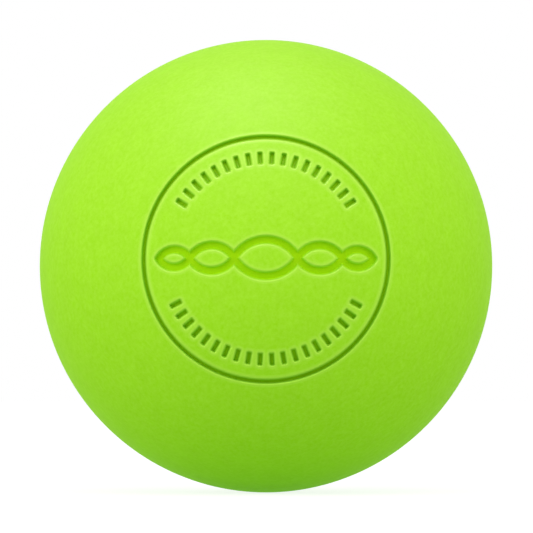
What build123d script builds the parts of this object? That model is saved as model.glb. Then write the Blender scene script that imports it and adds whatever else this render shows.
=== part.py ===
from build123d import *
import math
import os

# A solid rubber lacrosse ball, in millimetres. The ball's centre is the origin, the mark pressed
# into its front faces -Y and +Z is up. Two cover halves close round a core. They meet on the
# plane Y = 0 and are cured to the core and to each other, so nothing moves.

# Ball
ball_diameter = 63.5  # 199.5 mm round, between the game's limits of 197 and 203 mm
cover_thickness = 4.0
parting_line_width = 0.3  # the fine groove round the ball where the cover halves meet
parting_line_depth = 0.1

# Pressed mark, drawn flat as seen from the front and sunk to one depth all over
mark_depth = 0.7
lip_chamfer = 0.15  # where the ball's surface turns down into the mark

# Ring round the mark
ring_diameter = 32.5  # to the middle of the ring's width
ring_width = 0.52

# Two arcs of short radial bars inside the ring
bar_length = 1.6
bar_width = 0.6
bar_clearance = 1.84  # from the ring to the bars' outer ends
bar_pitch = 1.55  # along the circle through the bars' middles
upper_bar_count = 18
lower_bar_count = 20

# Twist across the middle: two strands that cross between loops, which get smaller outwards
strand_width = 1.05
twist_clearance = 1.269  # from the ring to the twist's tips
loop_rise = 2.4  # the middle loop, from its long axis to the middle of a strand
loop_shrink = 0.7  # each loop against the one inside it
side_loop_count = 2  # on each side of the middle loop

ball_radius = ball_diameter / 2
core_radius = ball_radius - cover_thickness
parting_angle = math.degrees(math.asin(parting_line_width / 2 / ball_radius))
ring_inside_radius = (ring_diameter - ring_width) / 2
bar_circle_diameter = 2 * (ring_inside_radius - bar_clearance) - bar_length
bar_step = math.degrees(bar_pitch / (bar_circle_diameter / 2))
twist_end = ring_inside_radius - twist_clearance - strand_width / 2
shrinks = [loop_shrink**step_out for step_out in range(1, side_loop_count + 1)]
loop_length = twist_end / (0.5 + sum(shrinks))  # the middle loop, half of which lies on each side
lip_size = min(lip_chamfer, bar_clearance / 3, twist_clearance / 3)  # leaves skin between two lips


def on_ball(edge):
    return math.isclose((edge @ 0.5).length, ball_radius, rel_tol=1e-6)


os.makedirs("parts", exist_ok=True)

# Core
with BuildPart() as core:
    Sphere(core_radius)
core.part.label = "core"
export_step(core.part, "parts/core.step")

# Cover half before it is marked: a hemispherical cup, as the front half lies
with BuildPart() as cover_blank:
    with BuildSketch():
        with BuildLine():
            outside = CenterArc((0, 0), ball_radius, -90, 90 - parting_angle)
            inside = CenterArc((0, 0), core_radius, -90, 90)
            Polyline(outside @ 1, (ball_radius - parting_line_depth, 0), inside @ 1)
            Line(inside @ 0, outside @ 0)
        make_face()
    revolve(axis=Axis.Y)

# Rear cover
with BuildPart() as rear_cover:
    mirror(cover_blank.part, about=Plane.XZ)
rear_cover.part.label = "rear_cover"
export_step(rear_cover.part, "parts/rear_cover.step")

# Loops of the twist, from the middle outwards: where each starts and ends, and how far it rises
loops = [(-loop_length / 2, loop_length / 2, loop_rise)]
for shrink in shrinks:
    near_end = loops[-1][1]
    far_end = near_end + loop_length * shrink
    loops.append((-far_end, -near_end, loop_rise * shrink))
    loops.append((near_end, far_end, loop_rise * shrink))

# Raised mark of the mould, which fills the pressed mark and stands clear of the ball
with BuildPart() as mould_mark:
    with BuildSketch(Plane.XZ):
        Circle((ring_diameter + ring_width) / 2)
        Circle(ring_inside_radius, mode=Mode.SUBTRACT)
    with BuildSketch(Plane.XZ):
        for bar_count, middle in ((upper_bar_count, 90), (lower_bar_count, 270)):
            spread = (bar_count - 1) * bar_step
            first = middle - spread / 2
            with PolarLocations(bar_circle_diameter / 2, bar_count, first, spread, endpoint=True):
                Rectangle(bar_length, bar_width)
    with BuildSketch(Plane.XZ):
        for start, end, rise in loops:
            for side in (1, -1):
                with BuildLine():
                    ThreePointArc((start, 0), ((start + end) / 2, side * rise), (end, 0))
                trace(line_width=strand_width)
        with Locations((-twist_end, 0), (twist_end, 0)):
            Circle(strand_width / 2)
    extrude(amount=ball_diameter)
    Sphere(ball_radius - mark_depth, mode=Mode.SUBTRACT)

# Front cover, with the mark pressed into it
with BuildPart() as front_cover:
    add(cover_blank.part)
    add(mould_mark.part, mode=Mode.SUBTRACT)
    lips = front_cover.edges().filter_by(on_ball)
    chamfer(lips.filter_by_position(Axis.Y, -ball_radius, -parting_line_width), lip_size)
front_cover.part.label = "front_cover"
export_step(front_cover.part, "parts/front_cover.step")
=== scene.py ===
import math

import bmesh
import bpy
from bpy.props import FloatProperty, FloatVectorProperty, IntProperty, PointerProperty
from mathutils import Matrix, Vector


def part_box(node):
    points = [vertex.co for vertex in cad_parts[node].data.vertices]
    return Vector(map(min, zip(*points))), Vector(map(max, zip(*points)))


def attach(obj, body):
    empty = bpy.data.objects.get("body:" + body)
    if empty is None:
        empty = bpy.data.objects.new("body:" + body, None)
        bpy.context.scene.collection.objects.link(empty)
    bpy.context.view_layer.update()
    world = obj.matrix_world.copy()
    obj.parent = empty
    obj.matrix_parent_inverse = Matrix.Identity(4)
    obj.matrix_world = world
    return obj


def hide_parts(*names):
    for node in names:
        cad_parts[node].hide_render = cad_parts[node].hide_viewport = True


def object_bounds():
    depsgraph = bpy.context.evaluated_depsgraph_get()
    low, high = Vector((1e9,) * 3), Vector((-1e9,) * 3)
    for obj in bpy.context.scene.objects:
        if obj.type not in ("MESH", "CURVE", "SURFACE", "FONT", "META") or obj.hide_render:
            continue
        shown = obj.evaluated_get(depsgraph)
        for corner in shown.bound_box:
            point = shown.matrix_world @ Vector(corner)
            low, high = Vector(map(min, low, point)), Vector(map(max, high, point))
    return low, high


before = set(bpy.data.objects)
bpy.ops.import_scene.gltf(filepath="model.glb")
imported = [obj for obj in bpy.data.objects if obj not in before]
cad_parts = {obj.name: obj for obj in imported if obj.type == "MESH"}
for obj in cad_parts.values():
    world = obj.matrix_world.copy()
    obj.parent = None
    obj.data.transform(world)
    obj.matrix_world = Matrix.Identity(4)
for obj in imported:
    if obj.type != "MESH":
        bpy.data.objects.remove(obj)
CAD_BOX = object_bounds()
FRONT_LOW, FRONT_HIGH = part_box("front_cover")
CORE_LOW, CORE_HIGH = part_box("core")

bl_info = {
    "name": "Lacrosse Ball",
    "version": (1, 0, 0),
    "blender": (4, 5, 0),
    "location": "View3D > Sidebar > Ball",
    "description": "Builds a moulded rubber ball with a pressed mark, and the stage that it stands on",
    "category": "Add Mesh",
}

# Nearly all of a noise texture's values lie between these
NOISE_LOW = 0.3
NOISE_HIGH = 0.7

# Sockets of a colour mix, which are told apart by number because their names repeat
MIX_FACTOR, MIX_FIRST, MIX_SECOND = 0, 6, 7
MIX_RESULT = 2


def length(name, description, default):
    """A property that holds a size of the ball or the stage, in metres."""
    return FloatProperty(
        name=name, description=description, default=default, precision=6, subtype="DISTANCE", unit="LENGTH"
    )


def colour(name, description, default):
    """A property that holds a linear colour."""
    return FloatVectorProperty(
        name=name, description=description, default=default, subtype="COLOR", min=0.0, max=1.0
    )


def angle(name, description, degrees):
    """A property that holds an angle."""
    return FloatProperty(
        name=name, description=description, default=math.radians(degrees), subtype="ANGLE", unit="ROTATION"
    )


def share(name, description, default):
    """A property that holds a share between nothing and the whole."""
    return FloatProperty(name=name, description=description, default=default, min=0.0, max=1.0)


def detail(name, description, default):
    """A property that holds how many finer layers a noise texture has."""
    return FloatProperty(name=name, description=description, default=default, min=0.0, max=15.0)


def place(name, description, default):
    """A property that holds a point on the stage, in metres."""
    return FloatVectorProperty(
        name=name, description=description, default=default, size=3, subtype="TRANSLATION", unit="LENGTH"
    )


def power(name, default):
    """A property that holds a lamp's power."""
    return FloatProperty(name=name, description="In watts", default=default, min=0.0)


class BallCoverSettings(bpy.types.PropertyGroup):
    """Sizes of the two cover halves and of the mesh that they are made of"""

    ball_radius: length("Ball radius", "Centre of the ball to its skin", -FRONT_LOW.y)
    core_radius: length("Core radius", "Centre of the ball to the inside of the cover", CORE_HIGH.x)
    parting_width: length("Parting line width", "Groove where the halves meet, across both", 0.0003)
    parting_depth: length("Parting line depth", "How deep that groove goes", 0.0001)
    columns: IntProperty(name="Columns", description="Faces round each half", default=192, min=24)
    skin_step: length("Skin step", "Length of a face along the plain skin", 0.0009)
    fine_step: length("Fine step", "Length of a face where the skin bends sharply", 0.00006)
    mark_step: length("Mark step", "Length of an edge on the lip of the mark", 0.00011)
    inner_step: length("Inner step", "Length of a face on the hidden inside", 0.0018)
    merge_distance: length("Merge distance", "Vertices this close become one", 0.0000006)
    sharp_angle: angle("Sharp angle", "Edges that bend by more than this look sharp", 50.0)


class BallMarkSettings(bpy.types.PropertyGroup):
    """Sizes of the mark pressed into the front, drawn flat as it is seen from there"""

    depth: length("Depth", "Skin to the floor of the mark", 0.0007)
    lip: length("Lip", "How far outside the outline the skin starts to roll down", 0.00025)
    foot: length("Foot", "How far inside the outline the wall meets the floor", 0.0002)
    lip_roundness: FloatProperty(
        name="Lip roundness", description="Above 1, the lip is rounder than the foot", default=1.5, min=0.1
    )
    # Reach of the lip's paler colour, which is partly wear and partly a painted highlight
    wear_and_highlight_reach: length("Wear", "How far from the outline the rubbed look reaches", 0.0005)
    ring_diameter: length("Ring diameter", "To the middle of the ring's width", 0.0325)
    ring_width: length("Ring width", "Across the ring at half its depth", 0.00052)
    bar_length: length("Bar length", "Each bar, along the ball's radius", 0.0016)
    bar_width: length("Bar width", "Each bar, at half its depth", 0.0006)
    bar_corner: length("Bar corner", "Rounding of a bar's corners", 0.00015)
    bar_circle_diameter: length("Bar circle diameter", "Through the middles of the bars", 0.0267)
    bar_pitch: length("Bar pitch", "From bar to bar along that circle", 0.00155)
    upper_bars: IntProperty(name="Upper bars", description="Bars in the upper arc", default=18, min=1)
    lower_bars: IntProperty(name="Lower bars", description="Bars in the lower arc", default=20, min=1)
    strand_width: length("Strand width", "Each strand of the twist, at half its depth", 0.00105)
    loop_length: length("Loop length", "The twist's middle loop", 0.0084)
    loop_rise: length("Loop rise", "The middle loop, from its long axis to its strand", 0.0024)
    loop_shrink: FloatProperty(
        name="Loop shrink", description="Each loop against the one inside it", default=0.7,
        min=0.1, max=1.0,
    )
    side_loops: IntProperty(
        name="Side loops", description="On each side of the middle loop", default=2, min=0
    )


class BallRubberSettings(bpy.types.PropertyGroup):
    """Colours and grain of the rubber"""

    cover: colour("Cover", "Lime rubber of the cover", (0.37, 0.84, 0.013))
    cover_deep: colour("Cover, deep", "Where the lime rubber is a little richer", (0.355, 0.81, 0.011))
    # Painted shade: the floors of the ring and bars are darkened to stand in for the shade in those narrow
    # grooves
    lines: colour("Lines", "Floor of the ring and the bars", (0.27, 0.56, 0.002))
    # Painted shade, lighter: the twist's wider floor is darkened a little for the shade in its recess
    twist: colour("Twist", "Floor of the twist", (0.385, 0.755, 0.002))
    # Paler lip colour: partly wear, partly a painted highlight on the rolled lip
    wear_and_highlight: colour("Worn", "Lip of the pressed mark, where it is rubbed", (0.55, 0.94, 0.12))
    wear_and_highlight_share: share("Worn share", "How much of the worn colour shows where it is strongest", 0.7)
    worn_roughness: share("Worn roughness", "How matt that lip is", 0.3)
    cover_smoothest: share("Cover, smoothest", "How matt the smoothest of the skin is", 0.55)
    cover_roughest: share("Cover, roughest", "How matt the roughest of the skin is", 0.65)
    cover_gloss: share("Cover gloss", "How strongly the cover reflects", 0.04)
    core: colour("Core", "Uncoloured rubber of the core", (0.42, 0.30, 0.16))
    core_dark: colour("Core, dark", "Darker flecks in the core", (0.30, 0.20, 0.10))
    core_smoothest: share("Core, smoothest", "How matt the smoothest of the core is", 0.65)
    core_roughest: share("Core, roughest", "How matt the roughest of the core is", 0.8)
    core_gloss: share("Core gloss", "How strongly the core reflects", 0.3)
    fleck_detail: detail("Fleck detail", "Finer layers in those flecks", 4.0)
    bloom: colour("Bloom", "What the specks of pale dry bloom add to the skin", (0.075, 0.05, 0.035))
    bloom_size: length("Bloom size", "The largest of those specks", 0.0006)
    bloom_detail: detail("Bloom detail", "Finer layers in those specks", 4.0)
    bloom_fineness: share("Bloom fineness", "How much the finer specks show", 0.75)
    grain_size: length("Grain size", "The fine dry grain of the moulded skin", 0.0003)
    grain_height: length("Grain height", "How far that grain stands up", 0.000004)
    grain_detail: detail("Grain detail", "Finer layers in that grain", 2.0)
    mottle_size: length("Mottle size", "Soft patches in the colour and gloss", 0.0022)
    mottle_height: length("Mottle height", "How far those patches stand up", 0.00001)
    mottle_detail: detail("Mottle detail", "Finer layers in those patches", 3.0)


class BallStageSettings(bpy.types.PropertyGroup):
    """Camera, floor and lights"""

    photo_side: IntProperty(
        name="Photo side", description="Side of the square picture, in pixels", default=533
    )
    ball_radius_px: FloatProperty(
        name="Ball radius", description="In the picture, in pixels", default=226.3
    )
    ball_offset_px: FloatVectorProperty(
        name="Ball offset", description="From the picture's middle, right and down, in pixels", size=2,
        default=(-0.5, -0.3),
    )
    camera_distance: length("Camera distance", "To the ball's centre", 0.5)
    camera_elevation: angle("Camera elevation", "Seen from the ball's centre", -2.0)
    camera_near: length("Camera near", "Nearest distance that the camera shows", 0.01)
    floor_side: length("Floor side", "Side of the square floor", 8.0)
    floor: colour("Floor", "Pale floor", (0.3, 0.3, 0.3))
    floor_shade: share("Floor shade", "How light the darker clouds on the floor are", 0.99)
    floor_roughness: share("Floor roughness", "How matt the floor is", 0.9)
    cloud_size: length("Cloud size", "The largest of those clouds", 0.4)
    cloud_detail: detail("Cloud detail", "Finer layers in those clouds", 2.0)
    floor_glow: colour("Floor glow", "Light that the floor gives, tinged by the ball", (0.21, 0.31, 0.10))
    floor_white: colour("Floor white", "What the camera sees of that light", (0.83, 0.83, 0.83))
    surround: FloatProperty(name="Surround", description="Light from all round", default=0.665, min=0.0)
    lamp_side: length("Lamp side", "Side of each square lamp", 0.8)
    lamp: colour("Lamp", "Colour of the lamps", (1.0, 0.90, 0.86))
    key_place: place("Key place", "Middle of the large soft lamp", (0.0, -0.7, 0.7))
    key_power: power("Key power", 2.9)
    left_place: place("Left place", "Middle of the lamp on the left", (-0.9, -0.4, 0.3))
    left_power: power("Left power", 3.2)
    right_place: place("Right place", "Middle of the weaker lamp on the right", (0.9, -0.4, 0.3))
    right_power: power("Right power", 1.95)
    sheen_place: place("Sheen place", "Middle of the overhead lamp", (-0.12, -0.2, 1.0))
    sheen_power: power("Sheen power", 80.0)


class PressedMark:
    """The mark's outline. Distances to it are negative inside the mark; x is right and z is up."""

    def __init__(self, sizes):
        self.sizes = sizes
        self.bar_step = sizes.bar_pitch / (sizes.bar_circle_diameter / 2)
        self.loops = []
        near_end = -sizes.loop_length / 2
        for step_out in range(sizes.side_loops + 1):
            shrink = sizes.loop_shrink**step_out
            half = sizes.loop_length * shrink / 2
            rise = sizes.loop_rise * shrink
            self.loops.append((near_end + half, half, rise, (half**2 + rise**2) / (2 * rise)))
            near_end += 2 * half

    def ring(self, x, z):
        return abs(math.hypot(x, z) - self.sizes.ring_diameter / 2) - self.sizes.ring_width / 2

    def bars(self, x, z):
        """Distance to the nearest bar of the nearer arc."""
        sizes = self.sizes
        count = sizes.upper_bars if z > 0 else sizes.lower_bars
        from_middle = math.atan2(z, x) - math.copysign(math.pi / 2, z)
        to_first = (count - 1) / 2
        bar = min(max(round(from_middle / self.bar_step + to_first), 0), count - 1)
        turn = from_middle - (bar - to_first) * self.bar_step
        reach = math.hypot(x, z)
        half_length = sizes.bar_length / 2 - sizes.bar_corner
        half_width = sizes.bar_width / 2 - sizes.bar_corner
        along = abs(reach * math.cos(turn) - sizes.bar_circle_diameter / 2) - half_length
        across = abs(reach * math.sin(turn)) - half_width
        outside = math.hypot(max(along, 0), max(across, 0))
        return outside + min(max(along, across), 0) - sizes.bar_corner

    def twist(self, x, z):
        """Distance to the nearest strand. The twist is the same left and right, above and below."""
        nearest = math.inf
        for middle, half, rise, radius in self.loops:
            along = abs(x) - middle
            up = abs(z) + radius - rise
            if abs(math.atan2(along, up)) <= math.asin(half / radius):
                gap = abs(math.hypot(along, up) - radius)
            else:
                gap = math.hypot(abs(along) - half, z)
            nearest = min(nearest, gap)
        return nearest - self.sizes.strand_width / 2

    def inside_ring(self, x, z):
        return min(self.bars(x, z), self.twist(x, z))

    def lines(self, x, z):
        return min(self.ring(x, z), self.bars(x, z))

    def share_of_depth(self, gap):
        """0 on the skin and 1 on the floor, with a gently rolled lip and a rounded foot between them."""
        lip, foot = self.sizes.lip, self.sizes.foot
        way_in = min(max((lip - gap) / (lip + foot), 0), 1)
        return (way_in * way_in * (3 - 2 * way_in)) ** self.sizes.lip_roundness

    def share_of_wear_and_highlight(self, gap):
        """1 where the lip turns over, where things rub and where the painted highlight goes, and less and
        less away from it.
        """
        return max(1 - abs(gap - self.sizes.lip / 2) / self.sizes.wear_and_highlight_reach, 0)


def draw_arc(bm, vertex, turn, steps):
    """Carries the half-section on from a vertex by an arc about the ball's centre, and returns its end."""
    made = bmesh.ops.spin(
        bm, geom=[vertex], cent=(0, 0, 0), axis=(0, 0, 1), dvec=(0, 0, 0), angle=turn, steps=steps
    )
    return made["geom_last"][0]


def draw_line(bm, vertex, end):
    """Carries the half-section on from a vertex by a straight line, and returns its end."""
    made = bmesh.ops.extrude_vert_indiv(bm, verts=[vertex])
    made["verts"][0].co = end
    return made["verts"][0]


def cover_half(sizes, fine_stretches):
    """A cup open to the rear: half of the cover, with finer faces on the given stretches of its skin.

    A stretch is two angles from the front of the ball.
    """
    parting = math.acos(sizes.parting_width / 2 / sizes.ball_radius)
    parting_lip = parting - sizes.parting_width / sizes.ball_radius
    stops = []
    for start, end in [*fine_stretches, (parting_lip, parting)]:
        stops.append((start, sizes.skin_step))
        stops.append((end, sizes.fine_step))

    bm = bmesh.new()
    tip = bm.verts.new((0, -sizes.ball_radius, 0))
    drawn = 0.0
    for stop, step in stops:
        steps = math.ceil((stop - drawn) * sizes.ball_radius / step)
        tip = draw_arc(bm, tip, stop - drawn, steps)
        drawn = stop
    tip = draw_line(bm, tip, (sizes.ball_radius - sizes.parting_depth, 0, 0))
    tip = draw_line(bm, tip, (sizes.core_radius, 0, 0))
    draw_arc(bm, tip, -math.pi / 2, math.ceil(math.pi / 2 * sizes.core_radius / sizes.inner_step))

    bmesh.ops.spin(
        bm, geom=bm.verts[:] + bm.edges[:], cent=(0, 0, 0), axis=(0, 1, 0), dvec=(0, 0, 0),
        angle=2 * math.pi, steps=sizes.columns, use_merge=True,
    )
    bmesh.ops.remove_doubles(bm, verts=bm.verts[:], dist=sizes.merge_distance)
    bmesh.ops.recalc_face_normals(bm, faces=bm.faces[:])
    return bm


def on_skin(vertex, sizes, reach):
    """Whether a vertex is on the outside of the ball, within reach of the axis through its front."""
    between = (sizes.ball_radius + sizes.core_radius) / 2
    return vertex.co.length > between and vertex.co.y < 0 and vertex.co.xz.length <= reach


def refine_mark(bm, sizes, mark, reach):
    """Splits the faces round the mark's outline, inside the ring, until they can follow it."""
    gap = bm.verts.layers.float.new("gap")
    measured = set()
    while True:
        disc = {v for v in bm.verts if on_skin(v, sizes, reach)}
        for vertex in disc - measured:
            vertex.co *= sizes.ball_radius / vertex.co.length
            vertex[gap] = mark.inside_ring(vertex.co.x, vertex.co.z)
        measured = disc
        long_edges = []
        for edge in bm.edges:
            start, end = edge.verts
            if start not in disc or end not in disc:
                continue
            clear = min(abs(start[gap]), abs(end[gap])) if start[gap] * end[gap] > 0 else 0
            if edge.calc_length() > sizes.mark_step + max(clear - mark.sizes.foot, 0):
                long_edges.append(edge)
        if not long_edges:
            bmesh.ops.triangulate(bm, faces=[f for f in bm.faces if disc.issuperset(f.verts)])
            return
        bmesh.ops.subdivide_edges(bm, edges=long_edges, cuts=1)
        bmesh.ops.triangulate(bm, faces=[f for f in bm.faces if len(f.verts) > 4])


def press_mark(bm, sizes, mark, reach):
    """Sinks the skin straight in, to the mark's depth.

    Each point keeps its share of that depth in the lines and the twist, which also paints shade on their
    floors, and its share of wear and painted highlight.
    """
    lines = bm.verts.layers.float.new("lines")
    twist = bm.verts.layers.float.new("twist")
    wear_and_highlight = bm.verts.layers.float.new("wear_and_highlight")
    for vertex in bm.verts:
        if not on_skin(vertex, sizes, reach):
            continue
        flat = vertex.co.xz
        lines_gap = mark.lines(*flat)
        twist_gap = mark.twist(*flat)
        vertex[lines] = mark.share_of_depth(lines_gap)
        vertex[twist] = mark.share_of_depth(twist_gap)
        vertex[wear_and_highlight] = mark.share_of_wear_and_highlight(min(lines_gap, twist_gap))
        floor_radius = sizes.ball_radius - mark.sizes.depth * max(vertex[lines], vertex[twist])
        vertex.co.y = -math.sqrt(floor_radius**2 - flat.length_squared)


def add_piece(name, bm, material, node):
    """Makes the finished mesh a piece of the ball that stands for a CAD node."""
    mesh = bpy.data.meshes.new(name)
    bm.to_mesh(mesh)
    bm.free()
    mesh.shade_smooth()
    mesh.set_sharp_from_angle(angle=bpy.context.scene.ball_cover.sharp_angle)
    mesh.materials.append(material)
    piece = bpy.data.objects.new(name, mesh)
    bpy.context.scene.collection.objects.link(piece)
    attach(piece, "root")
    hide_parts(node)
    return piece


class NodeSheet:
    """A material's nodes, added and linked one after another."""

    def __init__(self, tree):
        self.tree = tree
        tree.nodes.clear()

    def add(self, kind, inputs=None, **settings):
        node = self.tree.nodes.new(kind)
        for name, value in settings.items():
            setattr(node, name, value)
        for name, value in (inputs or {}).items():
            self.feed(node.inputs[name], value)
        return node

    def feed(self, socket, value):
        if isinstance(value, bpy.types.NodeSocket):
            self.tree.links.new(value, socket)
        else:
            socket.default_value = value

    def noise(self, position, size, layers, roughness=0.5):
        inputs = {"Vector": position, "Scale": 1 / size, "Detail": layers, "Roughness": roughness}
        return self.add("ShaderNodeTexNoise", inputs).outputs["Fac"]

    def ranged(self, value, low, high, from_low=NOISE_LOW, from_high=NOISE_HIGH):
        inputs = {
            "Value": value,
            "From Min": from_low,
            "From Max": from_high,
            "To Min": low,
            "To Max": high,
        }
        return self.add("ShaderNodeMapRange", inputs).outputs["Result"]

    def mixed(self, factor, first, second, blend="MIX"):
        node = self.add("ShaderNodeMix", data_type="RGBA", blend_type=blend)
        self.feed(node.inputs[MIX_FACTOR], factor)
        self.feed(node.inputs[MIX_FIRST], first)
        self.feed(node.inputs[MIX_SECOND], second)
        return node.outputs[MIX_RESULT]


def opaque(rgb):
    return (*rgb, 1.0)


def cover_rubber(rubber):
    """Matt lime rubber: soft mottling, a fine dry grain, a paler lip of wear and painted highlight, and
    painted shade down in the mark.
    """
    name = "cover_rubber_lime"
    material = bpy.data.materials.get(name)
    if material:
        return material
    material = bpy.data.materials.new(name)
    material.use_nodes = True
    sheet = NodeSheet(material.node_tree)
    position = sheet.add("ShaderNodeTexCoord").outputs["Object"]
    mottle = sheet.noise(position, rubber.mottle_size, rubber.mottle_detail)
    grain = sheet.noise(position, rubber.grain_size, rubber.grain_detail)
    specks = sheet.noise(position, rubber.bloom_size, rubber.bloom_detail, rubber.bloom_fineness)
    lines = sheet.add("ShaderNodeAttribute", attribute_name="lines").outputs["Fac"]
    twist = sheet.add("ShaderNodeAttribute", attribute_name="twist").outputs["Fac"]
    wear_and_highlight = sheet.add("ShaderNodeAttribute", attribute_name="wear_and_highlight").outputs["Fac"]

    patches = sheet.mixed(sheet.ranged(mottle, 0.0, 1.0), opaque(rubber.cover_deep), opaque(rubber.cover))
    bloomed = sheet.mixed(sheet.ranged(specks, 0.0, 1.0), patches, opaque(rubber.bloom), "ADD")
    # Paler lip: partly wear, partly a painted highlight
    wear_and_highlight_mix = sheet.ranged(wear_and_highlight, 0.0, rubber.wear_and_highlight_share, 0.0, 1.0)
    with_wear_and_highlight = sheet.mixed(wear_and_highlight_mix, bloomed, opaque(rubber.wear_and_highlight))
    # Painted shade: the twist's floor, and darker still the ring's and bars' floors, stand in for shade in
    # the recesses
    twisted = sheet.mixed(twist, with_wear_and_highlight, opaque(rubber.twist))
    base = sheet.mixed(lines, twisted, opaque(rubber.lines))

    skin_roughness = sheet.ranged(grain, rubber.cover_smoothest, rubber.cover_roughest)
    roughness = sheet.ranged(wear_and_highlight, skin_roughness, rubber.worn_roughness, 0.0, 1.0)
    swell = sheet.add(
        "ShaderNodeBump",
        {"Strength": 1.0, "Distance": rubber.mottle_height, "Height": mottle},
    )
    relief = sheet.add(
        "ShaderNodeBump",
        {
            "Strength": 1.0,
            "Distance": rubber.grain_height,
            "Height": grain,
            "Normal": swell.outputs["Normal"],
        },
    )
    shader = sheet.add(
        "ShaderNodeBsdfPrincipled",
        {
            "Base Color": base,
            "Roughness": roughness,
            "Normal": relief.outputs["Normal"],
            "Specular IOR Level": rubber.cover_gloss,
        },
    )
    sheet.add("ShaderNodeOutputMaterial", {"Surface": shader.outputs["BSDF"]})
    return material


def core_rubber(rubber):
    """Uncoloured rubber with darker flecks."""
    material = bpy.data.materials.new("core_rubber_tan")
    material.use_nodes = True
    sheet = NodeSheet(material.node_tree)
    position = sheet.add("ShaderNodeTexCoord").outputs["Object"]
    flecks = sheet.noise(position, rubber.mottle_size, rubber.fleck_detail)
    grain = sheet.noise(position, rubber.grain_size, rubber.grain_detail)
    base = sheet.mixed(sheet.ranged(flecks, 0.0, 1.0), opaque(rubber.core_dark), opaque(rubber.core))
    relief = sheet.add(
        "ShaderNodeBump",
        {"Strength": 1.0, "Distance": rubber.grain_height, "Height": grain},
    )
    shader = sheet.add(
        "ShaderNodeBsdfPrincipled",
        {
            "Base Color": base,
            "Roughness": sheet.ranged(flecks, rubber.core_smoothest, rubber.core_roughest),
            "Normal": relief.outputs["Normal"],
            "Specular IOR Level": rubber.core_gloss,
        },
    )
    sheet.add("ShaderNodeOutputMaterial", {"Surface": shader.outputs["BSDF"]})
    return material


def seen_white(sheet):
    """1 for rays that show the background: straight to the camera, or by way of gloss or glass."""
    path = sheet.add("ShaderNodeLightPath").outputs
    seen = path["Is Camera Ray"]
    for ray in ("Is Glossy Ray", "Is Transmission Ray"):
        seen = sheet.add("ShaderNodeMath", {0: seen, 1: path[ray]}, operation="MAXIMUM").outputs[0]
    return seen


def floor_paint(stage):
    """Pale matt floor with a light of its own, which looks white where no shadow falls."""
    material = bpy.data.materials.new("floor_paint")
    material.use_nodes = True
    sheet = NodeSheet(material.node_tree)
    position = sheet.add("ShaderNodeTexCoord").outputs["Object"]
    cloud = sheet.noise(position, stage.cloud_size, stage.cloud_detail)
    shade = [channel * stage.floor_shade for channel in stage.floor]
    base = sheet.mixed(sheet.ranged(cloud, 0.0, 1.0), opaque(stage.floor), opaque(shade))
    glow = sheet.mixed(seen_white(sheet), opaque(stage.floor_glow), opaque(stage.floor_white))
    shader = sheet.add(
        "ShaderNodeBsdfPrincipled",
        {
            "Base Color": base,
            "Roughness": stage.floor_roughness,
            "Specular IOR Level": 0.0,
            "Emission Color": glow,
            "Emission Strength": 1.0,
        },
    )
    sheet.add("ShaderNodeOutputMaterial", {"Surface": shader.outputs["BSDF"]})
    return material


def white_surround(stage):
    """A world that is white to look at and in reflections, and lights the ball evenly from all round."""
    world = bpy.data.worlds.new("white_surround")
    world.use_nodes = True
    sheet = NodeSheet(world.node_tree)
    strength = sheet.ranged(seen_white(sheet), stage.surround, 1.0, 0.0, 1.0)
    light = sheet.add("ShaderNodeBackground", {"Color": (1, 1, 1, 1), "Strength": strength})
    sheet.add("ShaderNodeOutputWorld", {"Surface": light.outputs["Background"]})
    return world


class BALL_OT_front_cover(bpy.types.Operator):
    """Build the front half of the cover, with the mark pressed into it"""

    bl_idname = "ball.front_cover"
    bl_label = "Front Cover"
    bl_options = {"REGISTER", "UNDO"}

    def execute(self, context):
        sizes = context.scene.ball_cover
        mark_sizes = context.scene.ball_mark
        mark = PressedMark(mark_sizes)
        half_ring = mark_sizes.ring_width / 2 + mark_sizes.lip / 2 + mark_sizes.wear_and_highlight_reach
        ring_inside = mark_sizes.ring_diameter / 2 - half_ring
        ring_outside = mark_sizes.ring_diameter / 2 + half_ring
        ring_stretch = [math.asin(r / sizes.ball_radius) for r in (ring_inside, ring_outside)]
        bm = cover_half(sizes, [ring_stretch])
        # Half a step more takes in the whole row of vertices that ends there
        refine_mark(bm, sizes, mark, ring_inside + sizes.fine_step / 2)
        press_mark(bm, sizes, mark, ring_outside)
        material = cover_rubber(context.scene.ball_rubber)
        add_piece("front_cover_rubber", bm, material, "front_cover")
        return {"FINISHED"}


class BALL_OT_rear_cover(bpy.types.Operator):
    """Build the plain rear half of the cover"""

    bl_idname = "ball.rear_cover"
    bl_label = "Rear Cover"
    bl_options = {"REGISTER", "UNDO"}

    def execute(self, context):
        bm = cover_half(context.scene.ball_cover, [])
        bmesh.ops.rotate(bm, verts=bm.verts[:], cent=(0, 0, 0), matrix=Matrix.Rotation(math.pi, 3, "Z"))
        material = cover_rubber(context.scene.ball_rubber)
        add_piece("rear_cover_rubber", bm, material, "rear_cover")
        return {"FINISHED"}


class BALL_OT_core(bpy.types.Operator):
    """Give the core inside the cover its rubber"""

    bl_idname = "ball.core"
    bl_label = "Core"
    bl_options = {"REGISTER", "UNDO"}

    def execute(self, context):
        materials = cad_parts["core"].data.materials
        materials.clear()
        materials.append(core_rubber(context.scene.ball_rubber))
        return {"FINISHED"}


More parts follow.
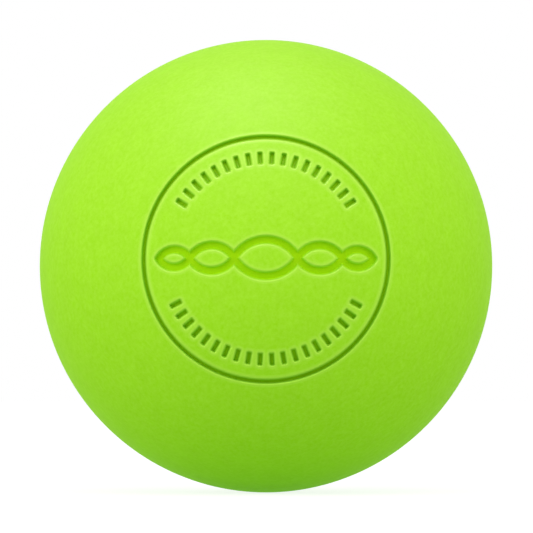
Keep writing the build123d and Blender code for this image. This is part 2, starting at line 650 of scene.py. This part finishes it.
class BALL_OT_stage(bpy.types.Operator):
    """Set up the floor, the lights and the camera"""

    bl_idname = "ball.stage"
    bl_label = "Stage"
    bl_options = {"REGISTER", "UNDO"}

    def execute(self, context):
        scene = context.scene
        stage = scene.ball_stage
        radius = scene.ball_cover.ball_radius
        scene.view_settings.view_transform = "Standard"
        scene.world = white_surround(stage)
        self.add_floor(scene, stage)
        self.add_lamp(scene, stage, "key_lamp", stage.key_place, stage.key_power)
        self.add_lamp(scene, stage, "left_lamp", stage.left_place, stage.left_power)
        self.add_lamp(scene, stage, "right_lamp", stage.right_place, stage.right_power)
        sheen = self.add_lamp(scene, stage, "sheen_lamp", stage.sheen_place, stage.sheen_power)
        sheen.visible_diffuse = False
        self.add_camera(scene, stage, radius)
        return {"FINISHED"}

    def add_floor(self, scene, stage):
        mesh = bpy.data.meshes.new("stage_floor")
        bm = bmesh.new()
        bmesh.ops.create_grid(bm, x_segments=1, y_segments=1, size=stage.floor_side / 2)
        bmesh.ops.translate(bm, verts=bm.verts[:], vec=(0, 0, CAD_BOX[0].z))
        bm.to_mesh(mesh)
        bm.free()
        mesh.materials.append(floor_paint(stage))
        floor = bpy.data.objects.new("stage_floor", mesh)
        scene.collection.objects.link(floor)

    def add_lamp(self, scene, stage, name, position, watts):
        lamp = bpy.data.lights.new(name, "AREA")
        lamp.shape = "SQUARE"
        lamp.size = stage.lamp_side
        lamp.color = stage.lamp
        lamp.energy = watts
        seat = bpy.data.objects.new(name, lamp)
        seat.location = position
        seat.rotation_euler = (-seat.location).to_track_quat("-Z", "Y").to_euler()
        scene.collection.objects.link(seat)
        return seat

    def add_camera(self, scene, stage, radius):
        half_angle = math.asin(radius / stage.camera_distance)
        focal_px = stage.ball_radius_px / math.tan(half_angle)
        camera = bpy.data.cameras.new("camera")
        camera.lens = focal_px * camera.sensor_width / stage.photo_side
        right, down = stage.ball_offset_px
        camera.shift_x = -right / stage.photo_side
        camera.shift_y = down / stage.photo_side
        camera.clip_start = stage.camera_near
        seat = bpy.data.objects.new("camera", camera)
        flat = stage.camera_distance * math.cos(stage.camera_elevation)
        seat.location = (0, -flat, stage.camera_distance * math.sin(stage.camera_elevation))
        seat.rotation_euler = (math.pi / 2 - stage.camera_elevation, 0, 0)
        scene.collection.objects.link(seat)
        scene.camera = seat


class BALL_PT_sidebar(bpy.types.Panel):
    """Lists the ball's pieces and the sizes and colours that they are made from"""

    bl_idname = "BALL_PT_sidebar"
    bl_label = "Lacrosse Ball"
    bl_space_type = "VIEW_3D"
    bl_region_type = "UI"
    bl_category = "Ball"

    def draw(self, context):
        for label, operators, settings in (
            ("Cover", ("ball.front_cover", "ball.rear_cover"), context.scene.ball_cover),
            ("Mark", (), context.scene.ball_mark),
            ("Rubber", ("ball.core",), context.scene.ball_rubber),
            ("Stage", ("ball.stage",), context.scene.ball_stage),
        ):
            box = self.layout.box()
            box.label(text=label)
            for name in settings.__annotations__:
                box.prop(settings, name)
            for operator in operators:
                box.operator(operator)


CLASSES = (
    BallCoverSettings,
    BallMarkSettings,
    BallRubberSettings,
    BallStageSettings,
    BALL_OT_front_cover,
    BALL_OT_rear_cover,
    BALL_OT_core,
    BALL_OT_stage,
    BALL_PT_sidebar,
)


def register():
    for cls in CLASSES:
        bpy.utils.register_class(cls)
    bpy.types.Scene.ball_cover = PointerProperty(type=BallCoverSettings)
    bpy.types.Scene.ball_mark = PointerProperty(type=BallMarkSettings)
    bpy.types.Scene.ball_rubber = PointerProperty(type=BallRubberSettings)
    bpy.types.Scene.ball_stage = PointerProperty(type=BallStageSettings)


def unregister():
    for name in ("ball_cover", "ball_mark", "ball_rubber", "ball_stage"):
        delattr(bpy.types.Scene, name)
    for cls in reversed(CLASSES):
        bpy.utils.unregister_class(cls)


def main():
    register()
    bpy.ops.ball.front_cover()
    bpy.ops.ball.rear_cover()
    bpy.ops.ball.core()
    bpy.ops.ball.stage()


if __name__ == "__main__":
    main()
